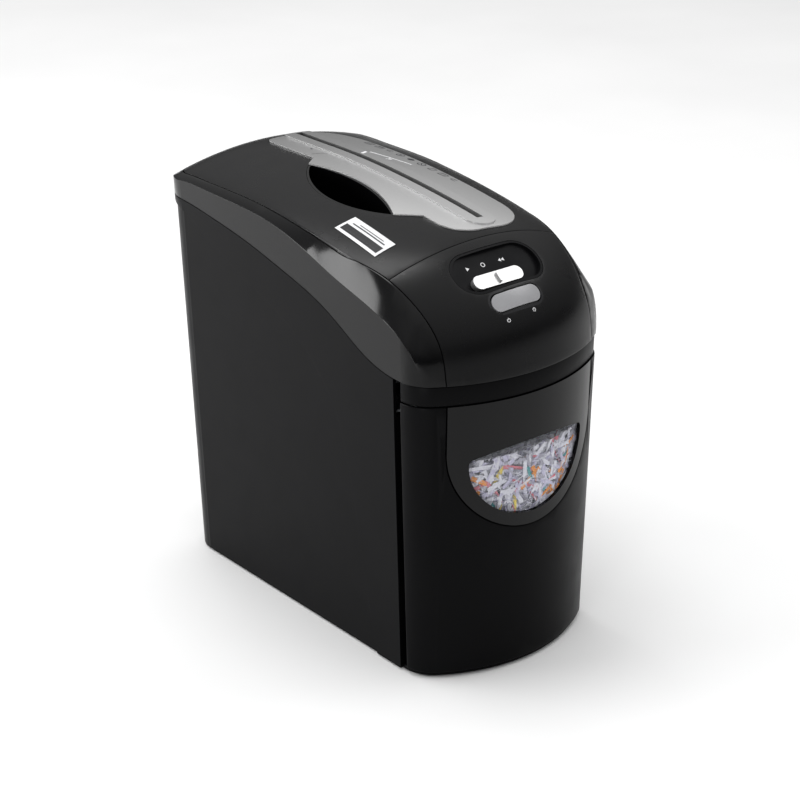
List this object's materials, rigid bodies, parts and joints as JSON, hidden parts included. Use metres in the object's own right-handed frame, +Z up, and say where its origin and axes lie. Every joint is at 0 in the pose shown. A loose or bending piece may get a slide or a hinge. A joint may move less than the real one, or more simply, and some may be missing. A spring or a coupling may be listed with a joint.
{
  "type": "paper shredder",
  "caption": "Office paper shredder: domed head with a silver entry plate, grip recess and mode switch over a pull-out bin with a window; gear-driven cutters.",
  "frame": {"origin": "middle of the bounding box's footprint, on the floor", "axes": "+Z up, front (window and console) towards -Y, +X to the right seen from the front"},
  "size_m": [0.1822, 0.3476, 0.3412],
  "materials": {
    "satin_black": "satin, fine moulded grain",
    "gloss_black": "gloss",
    "metallic_silver": "metallic lacquer",
    "clear_smoke": "clear, slightly tinted",
    "steel": "ground",
    "hard_steel": "oiled, dark",
    "zinc_steel": "zinc plated sheet",
    "motor_paint": "satin enamel",
    "bronze": "sintered, oily",
    "nylon": "natural nylon",
    "dark_plastic": "matte",
    "rubber": "matte",
    "paper": "cut paper strips",
    "label_ink": "printed film",
    "board_green": "solder mask",
    "parts_mixed": "moulded cases",
    "clear_acrylic": "polished",
    "lens_grey": "translucent grey"
  },
  "bodies": {
    "cabinet": {"cabinet_shell": "satin_black", "feet": "rubber", "deck": "zinc_steel", "deck_posts": "zinc_steel", "front_band": "satin_black", "bin_switch": "dark_plastic", "top_cover": "satin_black", "front_console": "satin_black", "head_surround": "gloss_black", "entry_plate": "metallic_silver", "entry_throat": "dark_plastic", "grip_cup": "gloss_black", "info_label": "label_ink", "switch_pocket": "gloss_black", "switch_body": "dark_plastic", "control_board": "board_green", "status_leds": "clear_acrylic", "light_guides": "clear_acrylic", "status_lens": "lens_grey", "front_plate": "zinc_steel", "rear_plate": "zinc_steel", "drum_bushes": "bronze", "tie_rods": "steel", "rod_screws": "steel", "band_screws": "steel", "strip_combs": "zinc_steel", "idler_axle": "steel", "motor_can": "motor_paint", "thermal_cutout": "dark_plastic", "sensor_bracket": "dark_plastic", "power_board": "board_green", "power_parts": "parts_mixed", "cord_gland": "dark_plastic"},
    "bin": {"bin_panel": "satin_black", "window_shield": "gloss_black", "window_pane": "clear_smoke", "bin_tub": "dark_plastic", "shredded_paper": "paper", "bin_magnet": "hard_steel"},
    "drum_a": {"cutter_drum_a": "hard_steel"},
    "drum_b": {"cutter_drum_b": "hard_steel"},
    "idler": {"idler_gear": "nylon"},
    "rotor": {"motor_rotor": "steel"},
    "switch": {"mode_switch": "metallic_silver"},
    "flap": {"sensor_flap": "nylon"}
  },
  "joints": [
    {"name": "bin_slide", "type": "slide", "parent": "cabinet", "child": "bin", "axis": [0, -1, 0], "range_m": [0, 0.25]},
    {"name": "cutter_a_spin", "type": "hinge", "parent": "cabinet", "child": "drum_a", "pos_m": [0.0015, 0, 0.252], "axis": [0, 1, 0], "continuous": true},
    {"name": "cutter_b_spin", "type": "hinge", "parent": "cabinet", "child": "drum_b", "pos_m": [0.0385, 0, 0.252], "axis": [0, 1, 0], "continuous": true},
    {"name": "idler_spin", "type": "hinge", "parent": "cabinet", "child": "idler", "pos_m": [-0.02656, 0.155, 0.27455], "axis": [0, 1, 0], "continuous": true},
    {"name": "motor_spin", "type": "hinge", "parent": "cabinet", "child": "rotor", "pos_m": [-0.052, 0.1, 0.247], "axis": [0, 1, 0], "continuous": true},
    {"name": "mode_slide", "type": "slide", "parent": "cabinet", "child": "switch", "axis": [1, 0, 0], "range_m": [-0.004, 0.004]},
    {"name": "flap_hinge", "type": "hinge", "parent": "cabinet", "child": "flap", "pos_m": [0.033, 0.02, 0.282], "axis": [0, 1, 0], "range_deg": [-32, 0], "stiffness_Nm_per_rad": 0.02}
  ],
  "couplings": [
    {"joint": "cutter_b_spin", "follows": "cutter_a_spin", "ratio": -1},
    {"joint": "idler_spin", "follows": "cutter_a_spin", "ratio": -3},
    {"joint": "motor_spin", "follows": "cutter_a_spin", "ratio": 12}
  ]
}
